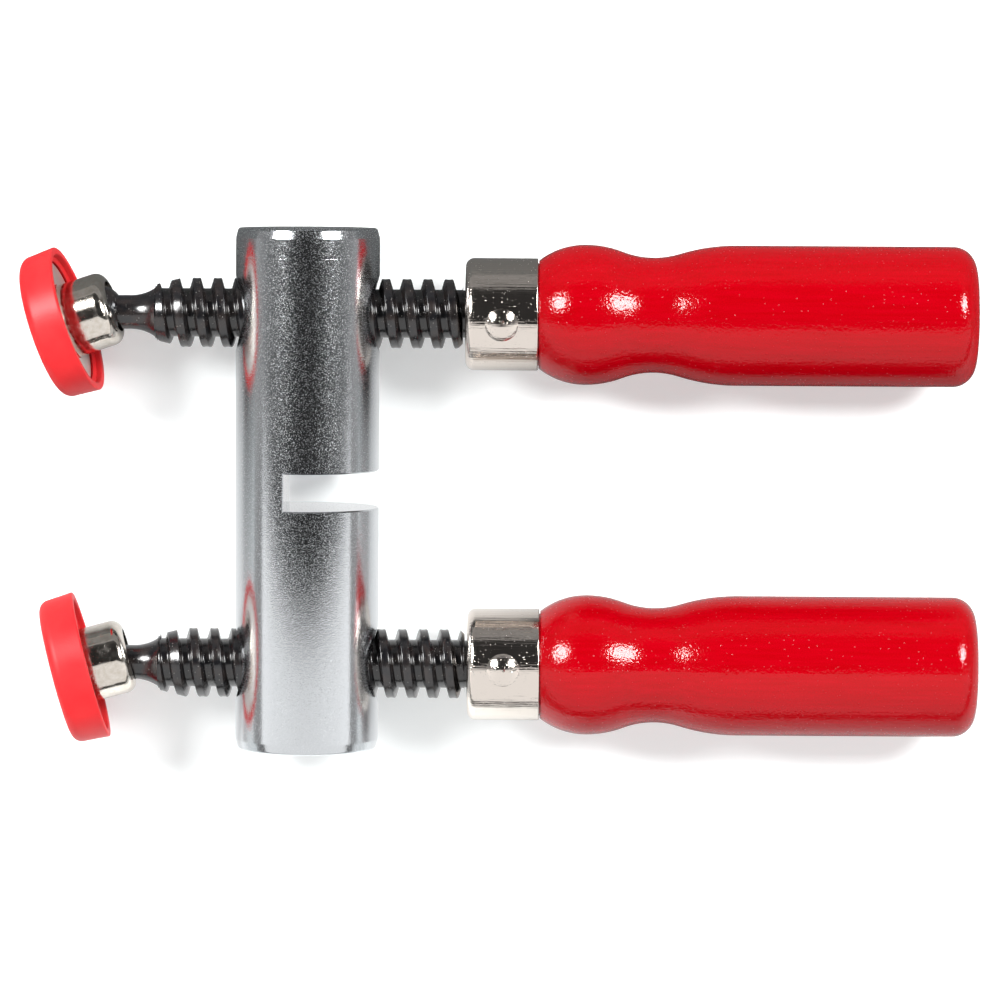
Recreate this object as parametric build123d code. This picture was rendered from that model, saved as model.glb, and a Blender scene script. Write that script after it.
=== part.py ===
from build123d import *
from math import asin, ceil, cos, floor, radians, sin, sqrt, tan
import os

# Double spindle edge clamp
#
# A round crossbar carries two trapezoidal screws side by side. The slot in the middle of the
# bar drops over the rail of an ordinary bar clamp, and the two screws then press a strip or
# lipping against the edge of the board that the bar clamp holds.
#
# Frame: the clamp lies flat. X runs along the screws, with the handles at +X and the swivel
# pads at -X. Y runs along the crossbar, with the upper screw at +Y. Z is up. The origin is
# the centre of the flat seat at the bottom of the rail slot, where the rail bears.
#
# Each screw and what it carries are drawn as lathe work: local Z runs along the screw towards
# the handle, local X points up, and z = 0 lies on the crossbar's axis. All sizes are in mm.

# Crossbar
bar_d = 27.4
bar_length = 99.5
bar_chamfer_length = 1.9
bar_chamfer_depth = 0.47
bar_edge_round = 0.6
slot_width = 7.0
slot_seat_past_axis = 4.0
slot_edge_break = 0.25
spindle_spacing = 67.0
hole_countersink = 0.7

# Trapezoidal thread, right-handed, one start
thread_lead = 4.0
thread_crest_d = 13.2
thread_root_d = 9.2
thread_crest_width = 1.5
thread_flank_deg = 15.0
thread_clearance = 0.12
thread_taper_d = 10.8
thread_taper_length = 4.8
thread_end_chamfer = 0.9

# Neck and ball at the pad end of the screw
ball_from_bar = 39.7
ball_d = 10.4
neck_length = 11.5
neck_d = 6.45
neck_straight = 6.5
neck_flare_r = 8.0
collar_d = 10.0
collar_width = 0.35

# Swivel pad: steel flange and hub, crimped over the ball with a lip; the socket is longer than
# the ball by the play, so that a loose pad slides a little way off it
ball_clearance = 0.08
pad_play = 2.2
hub_d = 14.2
hub_reach = 5.65
hub_edge_r = 2.1
hub_lip = 0.2
hub_fillet = 0.5
flange_setback = 2.0
flange_thickness = 2.3
flange_edge_r = 0.4

# Plastic cap snapped over the flange
cap_rim_from_ball = 1.8
cap_depth = 7.0
cap_d = 28.6
cap_draft_deg = 4.0
cap_edge_r = 2.0
cap_wall = 1.8
cap_rim_wall = 1.5
cap_rim_round = 0.3
cap_fit = 0.1
cap_bead = 0.4
cap_bead_width = 0.8

# Ferrule and the plain shank inside it
ferrule_from_bar = 30.5
ferrule_length = 13.8
ferrule_d = 21.4
ferrule_wall = 0.9
ferrule_front = 1.2
ferrule_edge_r = 1.6
ferrule_rim_round = 0.25
ferrule_gap = 0.5
shank_d = 9.0
shank_length = 45.0
shank_chamfer = 0.8
shank_fit = 0.05

# Cross pin with domed heads
pin_d = 4.0
pin_fit = 0.03
pin_head_d = 6.25
pin_head_rise = 1.1
pin_head_skirt = 0.05

# Turned wooden handle
handle_d = 26.7
handle_length = 83.8
handle_shoulder = 0.4
handle_joint_gap = 0.15
bulge_from_shoulder = 9.0
waist_from_shoulder = 22.0
waist_depth = 2.4
waist_arc_r = 16.6
grip_from_shoulder = 37.8
handle_end_r = 4.4
handle_end_dome = 0.5

# How the two sides stand as they lie: how far the screw is fed from even, where a thread crest
# faces straight up, measured from the bar's axis, how far the pin is turned, how far and which
# way the pad has swivelled, and what share of its play it has slid out
upper_feed = -0.45
upper_crest_from_bar = 15.87
upper_pin_turn_deg = 9.0
upper_pad_tilt_deg = 19.3
upper_pad_turn_deg = -72.8
upper_pad_out_share = 1.0
lower_feed = 0.2
lower_crest_from_bar = 15.30
lower_pin_turn_deg = 0.0
lower_pad_tilt_deg = 15.2
lower_pad_turn_deg = -99.6
lower_pad_out_share = 0.0

# Sizes that follow from the ones above
bar_r = bar_d / 2
crest_r = thread_crest_d / 2
root_r = thread_root_d / 2
shank_r = shank_d / 2
pin_r = pin_d / 2
neck_r = neck_d / 2
ball_r = ball_d / 2
flank_slope = tan(radians(thread_flank_deg))
thread_start = neck_length - ball_from_bar
thread_end = ferrule_from_bar - ferrule_gap
shank_end = ferrule_from_bar + shank_length
ferrule_r = ferrule_d / 2
ferrule_end = ferrule_from_bar + ferrule_length
pin_from_bar = ferrule_from_bar + ferrule_length / 2
cap_r = cap_d / 2
cap_pocket_r = cap_r - cap_wall
flange_r = cap_pocket_r - cap_fit
flange_back = cap_rim_from_ball + flange_setback
flange_front = flange_back + flange_thickness
cap_front = cap_rim_from_ball + cap_depth
handle_r = handle_d / 2
ball_flat = sqrt(ball_r ** 2 - neck_r ** 2)
ferrule_inner_edge_r = max(ferrule_edge_r - ferrule_wall, ferrule_rim_round)
cutter_overrun = 1.0
tolerance = 0.01


# Helpers for lathe work and threads

def lathe(*outline):
    """A solid of revolution about Z from outline pieces that run in (radius, height)."""
    return revolve(Plane.XZ * make_face(Curve() + list(outline)), Axis.Z)


def lathe_points(*points):
    """A solid of revolution about Z from straight-sided (radius, height) points."""
    return revolve(Plane.XZ * make_face(Polyline(*points, close=True)), Axis.Z)


def rod(radius, low, high):
    """A plain cylinder about Z between two heights."""
    return Pos(0, 0, low) * Cylinder(radius, high - low, align=(Align.CENTER, Align.CENTER, Align.MIN))


def rims(solid, radius, height):
    """The round edges of a solid that have this radius at this height."""
    rings = solid.edges().filter_by(GeomType.CIRCLE)
    return [
        ring for ring in rings
        if abs(ring.radius - radius) < tolerance and abs(ring.center().Z - height) < tolerance
    ]


def helical_turn(inner_r, outer_r, inner_width, outer_width):
    """One right-handed turn of a trapezoidal bar about Z, starting at +X with its middle at z = 0."""
    section = Plane.XZ * Polygon(
        (inner_r, -inner_width / 2),
        (outer_r, -outer_width / 2),
        (outer_r, outer_width / 2),
        (inner_r, inner_width / 2),
        align=None,
    )
    path = Helix(thread_lead, thread_lead, inner_r)
    return Solid.sweep(section.face(), path, is_frenet=True)


def helical_run(turn, middle, low, high):
    """Copies of one turn, end to end, that cover the heights from low to high; middle faces +X."""
    first = floor((low - middle) / thread_lead) - 1
    last = ceil((high - middle) / thread_lead) + 1
    return [Pos(0, 0, middle + count * thread_lead) * turn for count in range(first, last)]


def thread_grooves(crest_at):
    """The spiral groove of the screw, with a crest facing +X at height crest_at."""
    outer_r = crest_r + cutter_overrun
    root_width = thread_lead - thread_crest_width - 2 * (crest_r - root_r) * flank_slope
    outer_width = root_width + 2 * (outer_r - root_r) * flank_slope
    turn = helical_turn(root_r, outer_r, root_width, outer_width)
    return helical_run(turn, crest_at + thread_lead / 2, thread_start, thread_end)


def thread_ridges(crest_at):
    """The spiral ridge that taps the bar: the screw's ridge with its clearance all round."""
    outer_r = crest_r + thread_clearance
    inner_r = root_r - thread_clearance
    crest_width = thread_crest_width + 2 * thread_clearance
    inner_width = crest_width + 2 * (outer_r - inner_r) * flank_slope
    turn = helical_turn(inner_r, outer_r, inner_width, crest_width)
    return helical_run(turn, crest_at, -bar_r, bar_r)


# Crossbar

def make_blank():
    """The round bar with chamfered ends and softened corners, lying along Y."""
    half = bar_length / 2
    profile = Polyline(
        (0, -half),
        (bar_r - bar_chamfer_depth, -half),
        (bar_r, -half + bar_chamfer_length),
        (bar_r, half - bar_chamfer_length),
        (bar_r - bar_chamfer_depth, half),
        (0, half),
        close=True,
    )
    face = make_face(profile)
    corners = [
        corner for corner in face.vertices()
        if corner.X > tolerance and abs(corner.Y) > half - tolerance
    ]
    blank = revolve(Plane.XZ * fillet(corners, bar_edge_round), Axis.Z)
    return Pos(slot_seat_past_axis, 0, 0) * (Rot(90, 0, 0) * blank)


def make_slot():
    """The rail slot, from the flat seat at x = 0 out through the handle side of the bar."""
    reach = slot_seat_past_axis + bar_r + cutter_overrun
    height = bar_d + 2 * cutter_overrun
    return Box(reach, slot_width, height, align=(Align.MIN, Align.CENTER, Align.CENTER))


def on_slot_rim(edge):
    """Is this an edge where the slot breaks out through the round of the bar?"""
    middle = edge.position_at(0.5)
    from_axis = sqrt((middle.X - slot_seat_past_axis) ** 2 + middle.Z ** 2)
    return abs(middle.Y) < slot_width and abs(from_axis - bar_r) < tolerance


def make_tapped_hole(crest_at):
    """What drilling, countersinking and tapping take out of the bar for one screw."""
    bore_r = root_r + thread_clearance
    outside = bar_r + cutter_overrun
    sink_r = crest_r + thread_clearance + hole_countersink + cutter_overrun
    sink_tip = outside - (sink_r - bore_r)
    sink = lathe_points((0, outside), (sink_r, outside), (bore_r, sink_tip), (0, sink_tip))
    return [rod(bore_r, -outside, outside), sink, mirror(sink, Plane.XY)] + thread_ridges(crest_at)


def make_bar(sides):
    """The crossbar with its rail slot and a tapped hole for each screw."""
    bar = make_blank() - make_slot()
    bar = chamfer(bar.edges().filter_by(on_slot_rim), slot_edge_break)
    for side in sides:
        bar = bar.cut(*[side.hole * tool for tool in make_tapped_hole(side.crest_at)])
    return bar


# Screw, neck and ball

def make_screw(crest_at):
    """The threaded rod, tapered where the thread begins, with the plain shank for the handle."""
    blank = lathe_points(
        (0, thread_start),
        (thread_taper_d / 2, thread_start),
        (crest_r, thread_start + thread_taper_length),
        (crest_r, thread_end - thread_end_chamfer),
        (crest_r - thread_end_chamfer, thread_end),
        (shank_r, thread_end),
        (shank_r, shank_end - shank_chamfer),
        (shank_r - shank_chamfer, shank_end),
        (0, shank_end),
    )
    return blank.cut(*thread_grooves(crest_at))


def make_neck():
    """The waisted neck from the flat on the ball to the collar where the thread begins."""
    collar_at = neck_length - collar_width

    def flare(height):
        return neck_r + neck_flare_r - sqrt(neck_flare_r ** 2 - (height - neck_straight) ** 2)

    midway = (neck_straight + collar_at) / 2
    flare_end = (flare(collar_at), collar_at)
    return lathe(
        Polyline((0, neck_length), (0, ball_flat), (neck_r, ball_flat), (neck_r, neck_straight)),
        ThreePointArc((neck_r, neck_straight), (flare(midway), midway), flare_end),
        Polyline(flare_end, (collar_d / 2, collar_at), (collar_d / 2, neck_length), (0, neck_length)),
    )


def make_ball():
    """The ball, with a flat where the neck joins it."""
    return Sphere(ball_r) - rod(ball_r, ball_flat, 2 * ball_r)


# Swivel pad and cap, drawn about the centre of a ball pushed home, with the pressure face at -Z

def make_swivel_pad():
    """The steel flange with its hub, hollowed for the ball; the lip at the mouth holds it in."""
    hub_r = hub_d / 2
    body = rod(flange_r, -flange_front, -flange_back) + rod(hub_r, -flange_back, hub_reach)
    body = fillet(rims(body, hub_r, hub_reach), hub_edge_r)
    body = fillet(rims(body, hub_r, -flange_back), hub_fillet)
    body = fillet(rims(body, flange_r, -flange_back), flange_edge_r)
    body = fillet(rims(body, flange_r, -flange_front), flange_edge_r)

    socket_r = ball_r + ball_clearance
    mouth_r = ball_r - hub_lip
    lip_at = pad_play + sqrt(socket_r ** 2 - mouth_r ** 2)
    lip_bend = (radians(90) + asin(mouth_r / socket_r)) / 2
    outside = hub_reach + cutter_overrun
    hollow = lathe(
        ThreePointArc((0, -socket_r), (socket_r * sqrt(0.5), -socket_r * sqrt(0.5)), (socket_r, 0)),
        Line((socket_r, 0), (socket_r, pad_play)),
        ThreePointArc(
            (socket_r, pad_play),
            (socket_r * sin(lip_bend), pad_play + socket_r * cos(lip_bend)),
            (mouth_r, lip_at),
        ),
        Polyline((mouth_r, lip_at), (mouth_r, outside), (0, outside), (0, -socket_r)),
    )
    return body - hollow


def make_cap():
    """The plastic cap: a shallow cup with a drafted wall and a bead that snaps behind the flange."""
    front_r = cap_r - cap_depth * tan(radians(cap_draft_deg))
    rim_bore_r = cap_r - cap_rim_wall
    bead_r = flange_r - cap_bead
    bead_front = flange_back - cap_fit
    bead_crest = bead_front - cap_bead
    bead_back = bead_front - cap_bead_width
    floor_at = flange_front + cap_fit
    cup = lathe_points(
        (0, -cap_front),
        (front_r, -cap_front),
        (cap_r, -cap_rim_from_ball),
        (rim_bore_r, -cap_rim_from_ball),
        (rim_bore_r, -bead_back),
        (bead_r, -bead_crest),
        (cap_pocket_r, -bead_front),
        (cap_pocket_r, -floor_at),
        (0, -floor_at),
    )
    cup = fillet(rims(cup, front_r, -cap_front), cap_edge_r)
    cup = fillet(rims(cup, cap_r, -cap_rim_from_ball), cap_rim_round)
    return fillet(rims(cup, rim_bore_r, -cap_rim_from_ball), cap_rim_round)


# Ferrule, cross pin and handle

def make_pin_hole(turn_deg):
    """What a drill takes out across the screw's axis for the cross pin."""
    reach = ferrule_r + cutter_overrun
    return Rot(0, 0, turn_deg) * Pos(0, 0, pin_from_bar) * Rot(0, 90, 0) * rod(pin_r + pin_fit, -reach, reach)


def make_ferrule(turn_deg):
    """The drawn steel cup round the handle's tenon, pierced for the shank and the pin."""
    inside_r = ferrule_r - ferrule_wall
    inside = ferrule_from_bar + ferrule_front
    hollow = rod(inside_r, inside, ferrule_end + cutter_overrun)
    hollow = fillet(rims(hollow, inside_r, inside), ferrule_inner_edge_r)
    cup = rod(ferrule_r, ferrule_from_bar, ferrule_end)
    cup = fillet(rims(cup, ferrule_r, ferrule_from_bar), ferrule_edge_r) - hollow
    cup = fillet(rims(cup, ferrule_r, ferrule_end), ferrule_rim_round)
    bore = rod(shank_r + shank_fit, ferrule_from_bar - cutter_overrun, inside + cutter_overrun)
    return cup - bore - make_pin_hole(turn_deg)


def make_pin(turn_deg):
    """The cross pin: a plain shank with a domed head bedded on the ferrule at each side."""
    head_r = pin_head_d / 2
    seat = ferrule_r + pin_head_skirt
    top = seat + pin_head_rise
    dome_r = (head_r ** 2 + pin_head_rise ** 2) / (2 * pin_head_rise)
    shoulder_r = dome_r * sin(asin(head_r / dome_r) / 2)
    shoulder = (shoulder_r, top - dome_r + sqrt(dome_r ** 2 - shoulder_r ** 2))
    head = lathe(
        Polyline((0, top), (0, 0), (head_r, 0), (head_r, seat)),
        ThreePointArc((head_r, seat), shoulder, (0, top)),
    )
    beyond = head_r + cutter_overrun
    ferrule_surface = Rot(0, 90, 0) * rod(ferrule_r + pin_fit, -beyond, beyond)
    heads = head + mirror(head, Plane.XY) - ferrule_surface
    pin = rod(pin_r, -seat, seat) + heads
    return Rot(0, 0, turn_deg) * Pos(0, 0, pin_from_bar) * Rot(0, 90, 0) * pin


def make_handle(turn_deg):
    """The wooden handle: tenon, bulge, waist and straight grip with a rounded end."""
    base = ferrule_end + handle_joint_gap
    end = ferrule_end + handle_length
    bulge = ferrule_end + bulge_from_shoulder
    waist = ferrule_end + waist_from_shoulder
    grip = ferrule_end + grip_from_shoulder
    tenon_r = ferrule_r - ferrule_wall - shank_fit
    tenon_start = ferrule_from_bar + ferrule_front + handle_joint_gap
    shoulder_r = ferrule_r - handle_shoulder

    # Two arcs that roll into each other between a crown and the waist have radii that add up
    # to (length squared + depth squared) / (2 depth), and they meet in proportion to them
    shoulder_depth = handle_r - shoulder_r
    lead_in_r = ((bulge - base) ** 2 + shoulder_depth ** 2) / (2 * shoulder_depth)
    fall_r = ((waist - bulge) ** 2 + waist_depth ** 2) / (2 * waist_depth) - waist_arc_r
    climb_r = ((grip - waist) ** 2 + waist_depth ** 2) / (2 * waist_depth) - waist_arc_r
    waist_start = waist - (waist - bulge) * waist_arc_r / (fall_r + waist_arc_r)
    waist_end = waist + (grip - waist) * waist_arc_r / (climb_r + waist_arc_r)

    def crown(top, arc_r):
        return lambda z: handle_r - arc_r + sqrt(arc_r ** 2 - (z - top) ** 2)

    def hollow(z):
        return handle_r - waist_depth + waist_arc_r - sqrt(waist_arc_r ** 2 - (z - waist) ** 2)

    def arc(radius_at, start, finish):
        stations = [start, (start + finish) / 2, finish]
        return ThreePointArc(*[(radius_at(z), z) for z in stations])

    corner = end - handle_end_dome - handle_end_r
    flat_r = handle_r - handle_end_r
    dome_r = (flat_r ** 2 + handle_end_dome ** 2) / (2 * handle_end_dome)
    turned = lathe(
        Polyline(
            (0, end),
            (0, tenon_start),
            (tenon_r - ferrule_inner_edge_r, tenon_start),
            (tenon_r, tenon_start + ferrule_inner_edge_r),
            (tenon_r, base),
            (shoulder_r, base),
        ),
        arc(crown(bulge, lead_in_r), base, bulge),
        arc(crown(bulge, fall_r), bulge, waist_start),
        arc(hollow, waist_start, waist_end),
        arc(crown(grip, climb_r), waist_end, grip),
        Line((handle_r, grip), (handle_r, corner)),
        ThreePointArc(
            (handle_r, corner),
            (flat_r + handle_end_r * sqrt(0.5), corner + handle_end_r * sqrt(0.5)),
            (flat_r, corner + handle_end_r),
        ),
        ThreePointArc(
            (flat_r, corner + handle_end_r),
            (flat_r / 2, end - dome_r + sqrt(dome_r ** 2 - (flat_r / 2) ** 2)),
            (0, end),
        ),
    )
    bore = rod(shank_r + shank_fit, ferrule_from_bar, shank_end + handle_joint_gap)
    return turned - bore - make_pin_hole(turn_deg)


# Assembly

class Side:
    """One of the two screws: where its axis lies and how its pieces stand at rest."""

    def __init__(self, name, y, feed, crest_at, pin_turn_deg, pad_tilt_deg, pad_turn_deg, pad_out_share):
        self.name = name
        self.feed = feed
        self.crest_at = crest_at
        self.pin_turn_deg = pin_turn_deg
        self.hole = Plane((slot_seat_past_axis, y, 0), x_dir=(0, 0, 1), z_dir=(1, 0, 0))
        self.axis = self.hole * Pos(0, 0, feed)
        self.ball = self.axis * Pos(0, 0, -ball_from_bar)
        pad_out = pad_out_share * pad_play
        self.pad = self.ball * Rot(0, 0, pad_turn_deg) * Rot(0, pad_tilt_deg, 0) * Pos(0, 0, -pad_out)


def save(name, solid, colour):
    """Write one piece to its own file."""
    solid.label = name
    solid.color = Color(*colour)
    export_step(solid, f"parts/{name}.step")


def save_side(side):
    """Write the eight pieces that one screw carries."""
    turn = side.pin_turn_deg
    screw = make_screw(side.crest_at - side.feed) - make_pin_hole(turn)
    save(f"{side.name}_screw", side.axis * screw, black_steel)
    save(f"{side.name}_neck", side.ball * make_neck(), black_steel)
    save(f"{side.name}_ball", side.ball * make_ball(), black_steel)
    save(f"{side.name}_swivel_pad", side.pad * make_swivel_pad(), nickel)
    save(f"{side.name}_pad_cap", side.pad * make_cap(), red_plastic)
    save(f"{side.name}_ferrule", side.axis * make_ferrule(turn), nickel)
    save(f"{side.name}_cross_pin", side.axis * make_pin(turn), nickel)
    save(f"{side.name}_handle", side.axis * make_handle(turn), red_lacquer)


zinc = (0.75, 0.76, 0.78)
nickel = (0.72, 0.70, 0.66)
black_steel = (0.10, 0.10, 0.11)
red_lacquer = (0.80, 0.02, 0.06)
red_plastic = (0.95, 0.15, 0.18)

upper = Side(
    "upper", spindle_spacing / 2, upper_feed, upper_crest_from_bar,
    upper_pin_turn_deg, upper_pad_tilt_deg, upper_pad_turn_deg, upper_pad_out_share,
)
lower = Side(
    "lower", -spindle_spacing / 2, lower_feed, lower_crest_from_bar,
    lower_pin_turn_deg, lower_pad_tilt_deg, lower_pad_turn_deg, lower_pad_out_share,
)
os.makedirs("parts", exist_ok=True)
save("bar", make_bar([upper, lower]), zinc)
save_side(upper)
save_side(lower)
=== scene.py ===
# %% [markdown]
# An edge clamp in the studio
#
# A round plated crossbar carries two black screws. Each screw has a red lacquered handle at
# one end and a swivel pad with a red plastic cap at the other. The solids come from the packed
# model, which fixes every size and place. This notebook gives each piece its finish, rebuilds
# the ones whose surface needs real relief, and lights the clamp as in a catalogue picture.
# Everything is in metres, in the model's own frame: X along the screws, Y along the bar, Z up.

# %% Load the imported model
import math

import bmesh
import bpy
from mathutils import Matrix, Vector


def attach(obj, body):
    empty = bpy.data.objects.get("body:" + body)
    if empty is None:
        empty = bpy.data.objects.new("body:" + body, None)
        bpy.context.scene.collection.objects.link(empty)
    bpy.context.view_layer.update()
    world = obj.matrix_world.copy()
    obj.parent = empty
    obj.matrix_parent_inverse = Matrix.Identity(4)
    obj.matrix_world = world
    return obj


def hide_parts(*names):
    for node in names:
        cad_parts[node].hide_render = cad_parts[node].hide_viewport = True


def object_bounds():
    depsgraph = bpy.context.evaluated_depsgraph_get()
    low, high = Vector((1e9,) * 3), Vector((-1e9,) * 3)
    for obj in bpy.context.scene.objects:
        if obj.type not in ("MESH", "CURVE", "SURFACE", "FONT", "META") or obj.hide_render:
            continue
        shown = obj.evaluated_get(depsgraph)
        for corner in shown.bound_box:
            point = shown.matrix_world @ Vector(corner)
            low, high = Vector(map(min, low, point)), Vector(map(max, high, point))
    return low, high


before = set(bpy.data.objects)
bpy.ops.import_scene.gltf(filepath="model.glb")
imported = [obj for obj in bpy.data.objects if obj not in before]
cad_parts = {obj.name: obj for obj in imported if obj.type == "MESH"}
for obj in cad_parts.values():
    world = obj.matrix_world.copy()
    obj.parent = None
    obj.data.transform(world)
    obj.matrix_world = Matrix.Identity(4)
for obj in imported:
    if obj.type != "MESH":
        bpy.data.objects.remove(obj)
cad_low, cad_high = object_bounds()
mm = 0.001
print("pieces in the frame:", sorted(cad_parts))
print("size of the clamp in mm:", [round(v / mm, 1) for v in cad_high - cad_low])

# %% [markdown]
# The camera
#
# The picture was taken from almost straight above with a long lens. Two things are known from
# it: how many pixels a millimetre takes, and how far away upright lines seem to meet. The first
# sets the camera's distance for a given focal length, and the second its lean.

# %% Camera
image_px = 1000
focal_px = 4950
px_per_mm = 5.25
origin_px = Vector((285.7, 489.6))
foot_px = Vector((520.0, 131.0))
roll = math.radians(0.35)


def place_under(px):
    """The point on the plane z = 0 that a pixel of the picture shows, in metres."""
    across = (px.x - origin_px.x) / px_per_mm
    up = (origin_px.y - px.y) / px_per_mm
    return Vector((across, up, 0)) * mm


middle = place_under(Vector((image_px, image_px)) / 2)
camera_data = bpy.data.cameras.new("camera")
camera_data.sensor_width = 36
camera_data.lens = camera_data.sensor_width * focal_px / image_px
camera_data.clip_end = 20
camera = bpy.data.objects.new("camera", camera_data)
bpy.context.scene.collection.objects.link(camera)
camera.location = place_under(foot_px) + Vector((0, 0, focal_px / px_per_mm * mm))
back = (camera.location - middle).normalized()
across = Vector((0, 1, 0)).cross(back).normalized()
across = Matrix.Rotation(roll, 3, back) @ across
camera.rotation_euler = Matrix((across, back.cross(across), back)).transposed().to_euler()
bpy.context.scene.camera = camera
bpy.context.scene.view_settings.view_transform = "Standard"
print("camera at", [round(v, 3) for v in camera.location])
print("lens:", round(camera_data.lens), "mm")

# %% [markdown]
# Shader maths in plain expressions
#
# Materials here are built from nodes. A small class wraps one output socket, so that ordinary
# Python arithmetic on it adds Math nodes, and one method adds any other node.


# %% A wrapper for sockets
class Socket:
    """One output socket of a node tree; arithmetic on it adds Math nodes."""

    def __init__(self, tree, output):
        self.tree = tree
        self.output = output

    def math(self, operation, *values):
        return Sheet(self.tree).node("ShaderNodeMath", {"operation": operation}, list(values))

    def __add__(self, other):
        return self.math("ADD", self, other)

    def __sub__(self, other):
        return self.math("SUBTRACT", self, other)

    def __rsub__(self, other):
        return self.math("SUBTRACT", other, self)

    def __mul__(self, other):
        return self.math("MULTIPLY", self, other)

    def __truediv__(self, other):
        return self.math("DIVIDE", self, other)

    def __pow__(self, other):
        return self.math("POWER", self, other)

    def __gt__(self, other):
        return self.math("GREATER_THAN", self, other)

    def __lt__(self, other):
        return self.math("LESS_THAN", self, other)

    __radd__ = __add__

    def absolute(self):
        return self.math("ABSOLUTE", self)

    def clamp(self):
        return self.math("MINIMUM", self.math("MAXIMUM", self, 0), 1)


class Sheet:
    """A node tree being filled in."""

    def __init__(self, tree):
        self.tree = tree

    def node(self, kind, settings=None, inputs=None, output=0):
        """Add a node, apply its settings first, then its sockets; gives the wanted output."""
        made = self.tree.nodes.new(kind)
        for key, value in (settings or {}).items():
            setattr(made, key, value)
        pairs = inputs.items() if isinstance(inputs, dict) else enumerate(inputs or [])
        for key, value in pairs:
            if isinstance(value, Socket):
                self.tree.links.new(value.output, made.inputs[key])
            else:
                made.inputs[key].default_value = value
        return Socket(self.tree, made.outputs[output])

    def place(self, turn=(0, 0, 0), centre=(0, 0, 0), stretch=(1, 1, 1)):
        """Object coordinates, moved to a centre, turned and stretched."""
        coords = self.node("ShaderNodeTexCoord", output="Object")
        return self.node(
            "ShaderNodeMapping",
            {"vector_type": "POINT"},
            {"Vector": coords, "Location": centre, "Rotation": turn, "Scale": stretch},
        )

    def noise(self, where, scale, detail=2.0):
        """Soft noise between 0 and 1; the scale counts its waves in a metre."""
        inputs = {"Vector": where, "Scale": scale, "Detail": detail}
        return self.node("ShaderNodeTexNoise", {}, inputs)

    def spread(self, value, low, high, to_low=0.0, to_high=1.0):
        """Stretch the values between low and high to a new range, clamped."""
        return self.node("ShaderNodeMapRange", {"clamp": True}, [value, low, high, to_low, to_high])

    def mix(self, factor, first, second):
        """A colour between two colours."""
        settings = {"data_type": "RGBA", "blend_type": "MIX"}
        return self.node("ShaderNodeMix", settings, {0: factor, 6: first, 7: second}, output=2)

    def bump(self, height):
        """Relief from a height in millimetres."""
        inputs = {"Height": height, "Distance": 1 * mm, "Strength": 1.0}
        return self.node("ShaderNodeBump", {}, inputs)

    def other(self, socket, name):
        """Another output of the node that a socket belongs to."""
        return Socket(self.tree, socket.output.node.outputs[name])

    def specks(self, where, spacing, share, size):
        """Sparse round specks: 1 in the middle of a speck, 0 between them."""
        inputs = {"Vector": where, "Scale": 1 / spacing}
        near = self.node("ShaderNodeTexVoronoi", {}, inputs, output="Distance")
        chance = self.node("ShaderNodeSeparateColor", {}, [self.other(near, "Color")])
        return (1 - near / size).clamp() * (chance < share)

    def part_of(self, where, axis):
        """One coordinate of a vector."""
        return self.node("ShaderNodeSeparateXYZ", {}, [where], output=axis)


def finish_of(name, **sockets):
    """A material with one Principled shader; its sockets are named with underscores."""
    material = bpy.data.materials.new(name)
    material.use_nodes = True
    tree = material.node_tree
    shader = tree.nodes["Principled BSDF"]
    for key, value in sockets.items():
        shader.inputs[key.replace("_", " ")].default_value = value
    return material, Sheet(tree), shader


def feed(sheet, shader, **sockets):
    """Link what changes over a surface to the shader."""
    for key, value in sockets.items():
        sheet.tree.links.new(value.output, shader.inputs[key.replace("_", " ")])


def grey(level):
    return (level, level, level, 1)


# %% A wrapper for meshes
def object_of(bm, name):
    """Put what was built in bm into the scene, as an object with this name."""
    mesh = bpy.data.meshes.new(name)
    bm.to_mesh(mesh)
    bm.free()
    made = bpy.data.objects.new(name, mesh)
    bpy.context.scene.collection.objects.link(made)
    return made


# %% [markdown]
# The studio table
#
# The table is white to the camera and glows a little, so that it stays white round the clamp. In
# reflections it carries painted shade, greyer most of all behind the clamp, and a painted glow on
# both sides of the bar that stands in for the softboxes lighting it most there: the bar mirrors
# that glow as its pale sides.

# %% Table
bar_axis_x = 4.0 * mm
table_size = 6.0
table_colour = (0.76, 0.79, 0.79, 1)
glow_to_camera = 0.3
painted_shade_in_mirrors = 0.48
more_painted_shade_behind = 0.42
behind_y = (-50 * mm, 20 * mm)
painted_glow_strength = 0.75
painted_glow_fades_x = (24 * mm, 55 * mm)
painted_glow_fades_y = (20 * mm, 35 * mm)

bm = bmesh.new()
bmesh.ops.create_grid(bm, x_segments=1, y_segments=1, size=table_size / 2)
bmesh.ops.translate(bm, verts=bm.verts, vec=(0, 0, cad_low.z))
table = object_of(bm, "table")

material, sheet, shader = finish_of("white table", Roughness=0.9, Specular_IOR_Level=0.1)
seen = sheet.node("ShaderNodeLightPath", output="Is Camera Ray")
mirrored = sheet.other(seen, "Is Glossy Ray")
where = sheet.place()
along_x, along_y = sheet.part_of(where, "X"), sheet.part_of(where, "Y")
behind = sheet.spread(along_y, *behind_y)
# painted shade: in reflections the table is darker, most of all behind the clamp
shade = 1 - mirrored * (painted_shade_in_mirrors + behind * more_painted_shade_behind)
feed(sheet, shader, Base_Color=sheet.mix(shade, grey(0.0), table_colour))
# painted glow beside the bar, seen only in reflections, standing in for softbox light there
painted_glow = sheet.spread((along_x - bar_axis_x).absolute(), *painted_glow_fades_x, 1.0, 0.0)
painted_glow = painted_glow * sheet.spread(along_y, *painted_glow_fades_y, 1.0, 0.0)
feed(sheet, shader, Emission_Strength=seen * glow_to_camera + mirrored * painted_glow * painted_glow_strength)
shader.inputs["Emission Color"].default_value = grey(1.0)
table.data.materials.append(material)
print("table at", round(cad_low.z / mm, 1), "mm, just under the clamp")

# %% [markdown]
# The lamps
#
# There is a softbox behind the clamp on each side, and a white card hangs close in front of it.
# The card gives the pale lower half of the ferrules and the pale end of the bar. Each softbox is
# brightest in its middle, as its tube is, so nickel shows all of it and lacquer only the middle.


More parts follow.
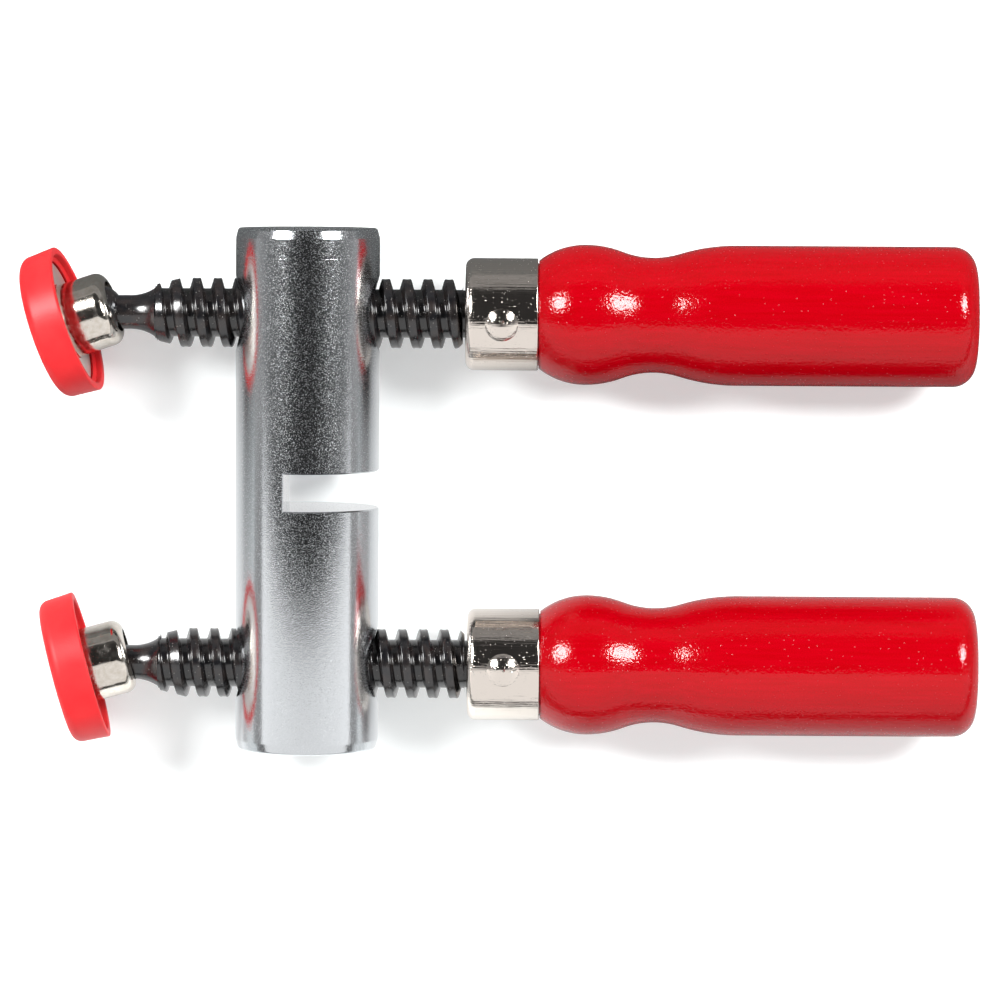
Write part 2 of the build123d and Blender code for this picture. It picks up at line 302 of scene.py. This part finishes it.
# %% Softboxes and card
def add_lamp(name, centre, aim, width, height, radiance, shape="RECTANGLE"):
    """A lamp whose face has the given radiance; 1 is the white of the picture."""
    data = bpy.data.lights.new(name, "AREA")
    data.shape = shape
    data.size = width
    data.size_y = height
    data.energy = radiance * math.pi * width * height * (math.pi / 4 if shape == "ELLIPSE" else 1)
    lamp = bpy.data.objects.new(name, data)
    bpy.context.scene.collection.objects.link(lamp)
    lamp.location = centre
    lamp.rotation_euler = (Vector(aim) - Vector(centre)).to_track_quat("-Z", "Y").to_euler()
    lamp.visible_camera = False
    return lamp


softbox_distance = 1.1
softbox_lean_y = math.radians(28)
softbox_leans_x = {"left softbox": math.radians(-42), "right softbox": math.radians(41)}
softbox_layers = {"skirt": (0.68, 0.9), "middle": (0.42, 35.0)}
layer_gap = 10 * mm
aim = Vector((40, 0, 0)) * mm
for name, lean_x in softbox_leans_x.items():
    direction = Vector((math.tan(lean_x), math.tan(softbox_lean_y), 1)).normalized()
    for number, (layer, (size, radiance)) in enumerate(softbox_layers.items()):
        centre = aim + direction * (softbox_distance - number * layer_gap)
        add_lamp(name + " " + layer, centre, aim, size, size, radiance, "ELLIPSE")

card_height = 241 * mm
card_edge_y = -48 * mm
card_depth = 1.3
card_width = 1.8
card_radiance = 0.98
card_centre = Vector((50 * mm, card_edge_y - card_depth / 2, card_height))
below_card = card_centre - Vector((0, 0, 1))
add_lamp("white card", card_centre, below_card, card_width, card_depth, card_radiance)

# %% [markdown]
# The room
#
# The camera sees a white room. Metal mirrors a dark one: nearly black overhead, with faint side
# walls, a weak glow at the height of the table, and a grey backdrop behind the clamp with a paler
# band across it. Heights in it are the upward part of a line of sight, from 0 to 1.

# %% Room
room_dark = 0.03
horizon_glow = 0.08
horizon_end = 0.3
wall_glow = 0.08
wall_middle_glow = 0.28
backdrop_fades = (0.39, 0.43, 0.17)
band_start = 0.43
band_fades = (0.47, 0.5, 0.4)
haze_fades = (0.46, 0.68, 0.07)
backdrop_edges = (0.6, 0.75)

world = bpy.data.worlds.new("room")
bpy.context.scene.world = world
world.use_nodes = True
sheet = Sheet(world.node_tree)
background = world.node_tree.nodes["Background"]
direction = sheet.node("ShaderNodeTexCoord", output="Generated")
up = sheet.part_of(direction, "Z")
ahead = sheet.part_of(direction, "Y")
sideways = sheet.part_of(direction, "X").absolute()


def fading(start, end, level):
    """A grey level that holds up to one height of the room and is gone at the next."""
    return sheet.spread(up, start, end, level, 0.0)


glow = fading(0.0, horizon_end, 1.0) ** 2.0
backdrop = fading(*backdrop_fades) + fading(*band_fades) * (up > band_start)
backdrop = (backdrop + fading(*haze_fades)) * sheet.spread(ahead, *backdrop_edges)
walls = sideways ** 2.0 * wall_glow + sideways ** 8.0 * wall_middle_glow
seen = sheet.node("ShaderNodeLightPath", output="Is Camera Ray")
mirrored_room = room_dark + glow * horizon_glow + walls + backdrop
feed(sheet, background, Strength=seen + (1 - seen) * mirrored_room)
background.inputs["Color"].default_value = grey(1.0)
print("room: white to the camera, dark in reflections")

# %% [markdown]
# Bright plating on the crossbar
#
# The bar is turned from round stock and plated. The cutting tool leaves faint rings around it,
# the plating a grain of tiny pits that sparkle where the bar mirrors the dark room, and a ring is
# scribed near one end. All of it is far finer than the bar, so it is relief in the finish.


# %% Finish of the bar
scribed_y = 44.1 * mm
scribed_half_width = 0.07 * mm


def plated_bar():
    zinc = (0.64, 0.66, 0.68, 1)
    material, sheet, shader = finish_of("bright plating", Base_Color=zinc, Metallic=1.0)
    where = sheet.place()
    patches = sheet.noise(where, 120, 3.0)
    grain = sheet.noise(where, 5400, 1.0)
    grit = sheet.noise(where, 6600, 1.0)
    sparkle = sheet.specks(where, 0.25 * mm, 0.9, 0.44)
    strength = sheet.noise(where, 3600, 1.0)
    rings = sheet.noise(sheet.place(stretch=(0.02, 1, 0.02)), 3600, 2.0)
    from_scribed = (sheet.part_of(where, "Y") - scribed_y).absolute()
    scribed = (1 - from_scribed / scribed_half_width).clamp()
    height = grain * 0.01 + rings * 0.002 - sparkle * 0.004 - scribed * 0.005
    feed(sheet, shader, Normal=sheet.bump(height))
    rough = sparkle * sheet.spread(strength, 0.35, 0.7, 0.0, 0.3)
    rough = rough.math("MAXIMUM", rough, sheet.spread(grit, 0.54, 0.7, 0.0, 0.32))
    feed(sheet, shader, Roughness=sheet.spread(patches, 0.3, 0.7, 0.04, 0.07) + rough)
    return material


bar_plating = plated_bar()
print("finish of the bar:", bar_plating.name)

# %% [markdown]
# Nickel on the ferrules, pins and pads
#
# The ferrules are drawn cups with a mirror finish, so they carry faint lines along their length
# and few pits. The pads' hubs are crimped round the ball, which leaves shallow dents all round,
# and their plating is duller and freckled. Their flanges are painted paler, as painted light.


# %% Finishes of the nickel pieces
hub_reach = 7.4 * mm


def drawn_nickel():
    nickel = (0.77, 0.70, 0.64, 1)
    material, sheet, shader = finish_of("ferrule nickel", Base_Color=nickel, Metallic=1.0)
    where = sheet.place()
    lines = sheet.noise(sheet.place(stretch=(0.04, 1, 1)), 2300, 3.0)
    waves = sheet.noise(where, 260, 2.0)
    pits = sheet.specks(where, 0.45 * mm, 0.5, 0.26)
    height = lines * 0.055 + waves * 0.02 - pits * 0.03
    feed(sheet, shader, Normal=sheet.bump(height))
    feed(sheet, shader, Roughness=sheet.spread(waves, 0.3, 0.7, 0.07, 0.11) + pits * 0.3)
    return material


def crimped_nickel(name, centre, tilt, turn):
    """Nickel for the pad with this socket centre; its own axis tells the hub from the flange."""
    material, sheet, shader = finish_of(name, Metallic=1.0)
    upright = Matrix(((0, 0, 1), (0, -1, 0), (1, 0, 0))).transposed()
    frame_turn = upright @ Matrix.Rotation(turn, 3, "Z") @ Matrix.Rotation(tilt, 3, "Y")
    own_turn = frame_turn.transposed()
    own = sheet.place(turn=own_turn.to_euler(), centre=-(own_turn @ centre))
    across_x, across_y = sheet.part_of(own, "X"), sheet.part_of(own, "Y")
    from_axis = (across_x * across_x + across_y * across_y) ** 0.5
    flange = from_axis > hub_reach
    where = sheet.place()
    dents = sheet.noise(where, 380, 1.0)
    blots = sheet.noise(where, 900, 4.0)
    pits = sheet.specks(where, 0.4 * mm, 0.5, 0.3)
    height = dents * 0.045 + blots * 0.006 - pits * 0.012
    feed(sheet, shader, Normal=sheet.bump(height))
    feed(sheet, shader, Roughness=sheet.spread(blots, 0.35, 0.65, 0.07, 0.17) + flange * 0.4)
    dull, bright = (0.64, 0.58, 0.51, 1), (0.74, 0.69, 0.63, 1)
    tint = sheet.mix(sheet.spread(blots, 0.35, 0.65), dull, bright)
    # painted light: the flange past the hub is painted paler, standing in for the light it catches
    # inside the cap
    feed(sheet, shader, Base_Color=sheet.mix(flange, tint, (0.85, 0.82, 0.78, 1)))
    return material


ferrule_nickel = drawn_nickel()
print("finish of the ferrules and pins:", ferrule_nickel.name)

# %% [markdown]
# Blackened steel on the screws
#
# The screws, necks and balls are rolled and turned steel, blackened and oiled. The oil makes them
# glossy, the black is a little brown in places, and pinpricks of bare steel sparkle.


# %% Finish of the screws
def blackened():
    material, sheet, shader = finish_of("blackened steel", IOR=1.7)
    where = sheet.place()
    cloud = sheet.noise(where, 500, 4.0)
    fine = sheet.noise(where, 3800, 2.0)
    pricks = sheet.specks(where, 0.5 * mm, 0.3, 0.25)
    black, brown = (0.005, 0.005, 0.006, 1), (0.014, 0.010, 0.009, 1)
    tint = sheet.mix(sheet.spread(cloud, 0.4, 0.65), black, brown)
    feed(sheet, shader, Base_Color=sheet.mix(pricks, tint, (0.3, 0.29, 0.27, 1)))
    feed(sheet, shader, Metallic=pricks * 0.9)
    feed(sheet, shader, Roughness=sheet.spread(cloud, 0.3, 0.7, 0.13, 0.26) + pricks * 0.1)
    feed(sheet, shader, Normal=sheet.bump(fine * 0.012 + cloud * 0.012 + pricks * 0.012))
    return material


black_steel = blackened()
print("finish of the screws, necks and balls:", black_steel.name)

# %% [markdown]
# Red lacquer on the handles
#
# The handles are turned from a close-grained wood and dipped in red lacquer. The lacquer follows
# the grain as long shallow ripples, hangs in slow waves, and has caught a little dust.


# %% Finish of the handles
def lacquer():
    material, sheet, shader = finish_of("red lacquer", IOR=1.48, Specular_IOR_Level=0.33)
    where = sheet.place()
    grain = sheet.noise(sheet.place(stretch=(0.06, 1, 1)), 1500, 3.0)
    waves = sheet.noise(where, 330, 2.0)
    peel = sheet.noise(where, 2000, 1.5)
    dust = sheet.specks(where, 0.9 * mm, 0.5, 0.2)
    height = grain * 0.03 + waves * 0.03 + peel * 0.06 + dust * 0.05
    feed(sheet, shader, Normal=sheet.bump(height))
    dusty = (dust * 4).clamp()
    feed(sheet, shader, Roughness=sheet.spread(waves, 0.3, 0.7, 0.05, 0.08) + dusty * 0.36)
    deep, light = (0.29, 0.0, 0.002, 1), (0.33, 0.0, 0.004, 1)
    feed(sheet, shader, Base_Color=sheet.mix(sheet.spread(grain, 0.3, 0.7), deep, light))
    return material


red_lacquer = lacquer()
print("finish of the handles:", red_lacquer.name)

# %% [markdown]
# Coral plastic on the caps
#
# The caps are moulded from a soft coral-red plastic with a finely eroded mould, so they are
# satin, with a faint cloudiness where hands have polished them.


# %% Finish of the caps
def cap_plastic():
    material, sheet, shader = finish_of("coral plastic", IOR=1.46, Specular_IOR_Level=0.3)
    where = sheet.place()
    erosion = sheet.noise(where, 3300, 2.0)
    cloud = sheet.noise(where, 160, 3.0)
    feed(sheet, shader, Normal=sheet.bump(erosion * 0.02 + cloud * 0.05))
    feed(sheet, shader, Roughness=sheet.spread(cloud, 0.3, 0.7, 0.36, 0.5))
    deep, light = (0.57, 0.012, 0.016, 1), (0.63, 0.018, 0.021, 1)
    feed(sheet, shader, Base_Color=sheet.mix(sheet.spread(cloud, 0.35, 0.65), deep, light))
    return material


coral_plastic = cap_plastic()
print("finish of the caps:", coral_plastic.name)

# %% [markdown]
# Each piece and its finish
#
# The nickel of a pad has to know where its socket sits and how the pad lies, so each pad has a
# finish of its own. The turn is about the screw's axis, and the tilt is away from that axis.

# %% Finishes on the pieces
spindle_spacing = 67.0 * mm
ball_from_bar = -39.7 * mm
sides = {
    "upper": {
        "y": spindle_spacing / 2, "feed_x": -0.45 * mm, "crest_x": 15.87 * mm,
        "pad_tilt": math.radians(19.3), "pad_turn": math.radians(-72.8),
    },
    "lower": {
        "y": -spindle_spacing / 2, "feed_x": 0.2 * mm, "crest_x": 15.30 * mm,
        "pad_tilt": math.radians(15.2), "pad_turn": math.radians(-99.6),
    },
}
finishes = {
    "bar": bar_plating,
    "screw": black_steel,
    "neck": black_steel,
    "ball": black_steel,
    "ferrule": ferrule_nickel,
    "cross_pin": ferrule_nickel,
    "handle": red_lacquer,
    "pad_cap": coral_plastic,
}
for side, sizes in sides.items():
    ball = Vector((bar_axis_x + ball_from_bar + sizes["feed_x"], sizes["y"], 0))
    pad_finish = crimped_nickel(side + " pad nickel", ball, sizes["pad_tilt"], sizes["pad_turn"])
    finishes[side + "_swivel_pad"] = pad_finish
for name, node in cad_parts.items():
    piece = name.replace("upper_", "").replace("lower_", "")
    node.data.materials.clear()
    node.data.materials.append(finishes[name] if name in finishes else finishes[piece])
print("finishes:", sorted(finish.name for finish in set(finishes.values())))

# %% [markdown]
# The rolled threads and the pins' nibs
#
# The screws' threads are rolled, not cut: the metal flows up between the dies, so that each crest
# has soft edges and a faint dip along its middle, and each root is rounded. Those soft edges catch
# the light as thin lines. Each thread is rebuilt here as one strip of the profile wound along the
# screw, trimmed to the turned blank, with the plain shank behind it. Each cross pin also gets the
# small nib that its closing tool leaves in the middle of the domed head.

# %% Threads with soft edges
lead = 4.0 * mm
crest_r = 6.6 * mm
thread_start = -28.2 * mm
thread_end = 30.0 * mm
taper_r = 5.4 * mm
taper_length = 4.8 * mm
end_chamfer = 0.9 * mm
shank_r = 4.5 * mm
shank_start = thread_start + 1 * mm
shank_end = 75.5 * mm
shank_sides = 64
sharp_angle = math.radians(50)
angle_steps = 96
merge_gap = 0.002 * mm
sliver = 0.001 * mm
# From the middle of a crest to the next valley: distance along the screw and radius, in mm.
half_profile = [
    (0.00, 6.54), (0.28, 6.55), (0.48, 6.59), (0.60, 6.60), (0.70, 6.58), (0.77, 6.51), (0.81, 6.38),
    (0.99, 5.70), (1.18, 5.00), (1.23, 4.82), (1.29, 4.69), (1.38, 4.62), (1.50, 4.60), (1.75, 4.60),
]
valley = (2.0, 4.60)


def blank_r(z):
    """The radius of the turned blank under the thread, at a distance from the bar's axis."""
    if z < thread_start + taper_length:
        return taper_r + (crest_r - taper_r) * (z - thread_start) / taper_length
    return min(crest_r, crest_r - end_chamfer + (thread_end - z))


def wound_thread(name, y, feed_x, crest_x):
    """The screw of one side: its thread as a wound strip and its shank as a rod."""
    before = [(-dz, r) for dz, r in reversed(half_profile[1:])]
    profile = before + half_profile + [valley]
    low, high = thread_start + feed_x, thread_end + feed_x
    first = math.floor((low - crest_x) / lead) - 1
    turns = math.ceil((high - low) / lead) + 3
    starts = [(first + turn) * lead for turn in range(turns)]
    outline = [(start + dz * mm, r * mm) for start in starts for dz, r in profile]
    bm = bmesh.new()
    rings = []
    for row, radius in outline:
        ring = []
        for step in range(angle_steps):
            angle = 2 * math.pi * step / angle_steps
            x = min(max(crest_x + row + lead * step / angle_steps, low), high)
            r = min(radius, blank_r(x - feed_x))
            point = (bar_axis_x + x, y - r * math.sin(angle), r * math.cos(angle))
            ring.append(bm.verts.new(point))
        rings.append(ring)
    per_turn = len(profile)
    for index in range(len(rings) - 1):
        here, there = rings[index], rings[index + 1]
        for step in range(angle_steps - 1):
            bm.faces.new((here[step], here[step + 1], there[step + 1], there[step]))
        if index + per_turn + 1 < len(rings):
            ahead, beyond = rings[index + per_turn], rings[index + per_turn + 1]
            bm.faces.new((here[-1], ahead[0], beyond[0], there[-1]))
    bmesh.ops.remove_doubles(bm, verts=bm.verts, dist=merge_gap)
    bmesh.ops.dissolve_degenerate(bm, edges=bm.edges, dist=sliver)
    loose = [vert for vert in bm.verts if not vert.link_faces]
    bmesh.ops.delete(bm, geom=loose, context="VERTS")
    shank = bmesh.ops.create_cone(
        bm, cap_ends=True, segments=shank_sides,
        radius1=shank_r, radius2=shank_r, depth=shank_end - shank_start,
    )["verts"]
    lying = Matrix.Rotation(math.pi / 2, 3, "Y")
    middle = (shank_end + shank_start) / 2 + feed_x
    bmesh.ops.rotate(bm, verts=shank, cent=(0, 0, 0), matrix=lying)
    bmesh.ops.translate(bm, verts=shank, vec=(bar_axis_x + middle, y, 0))
    bmesh.ops.recalc_face_normals(bm, faces=bm.faces)
    piece = object_of(bm, name)
    piece.data.shade_smooth()
    piece.data.set_sharp_from_angle(angle=sharp_angle)
    piece.data.materials.append(black_steel)
    return piece


# %% Nibs and placing
nib_foot_r = 0.34 * mm
nib_tip_r = 0.16 * mm
nib_height = 0.22 * mm
nib_sides = 24
nib_from_crown = Vector((0.1, 0, 0.05)) * mm


def nib_on(name, pin):
    """The small nib left in the middle of a pin's domed head by the tool that closed it."""
    corners = [pin.matrix_world @ vert.co for vert in pin.data.vertices]
    crown = max(corners, key=lambda point: point.z)
    bm = bmesh.new()
    bmesh.ops.create_cone(
        bm, cap_ends=True, segments=nib_sides,
        radius1=nib_foot_r, radius2=nib_tip_r, depth=nib_height,
    )
    bmesh.ops.translate(bm, verts=bm.verts, vec=crown + nib_from_crown)
    bmesh.ops.recalc_face_normals(bm, faces=bm.faces)
    piece = object_of(bm, name)
    piece.data.materials.append(ferrule_nickel)
    return piece


for side, sizes in sides.items():
    piece = wound_thread(side + "_thread", sizes["y"], sizes["feed_x"], sizes["crest_x"])
    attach(piece, side + "_spindle")
    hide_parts(side + "_screw")
    nib = nib_on(side + "_pin_nib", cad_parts[side + "_cross_pin"])
    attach(nib, side + "_spindle")
    reach = [round(v / mm, 1) for v in piece.dimensions]
    print(piece.name, "has", len(piece.data.polygons), "faces and reaches", reach, "mm")
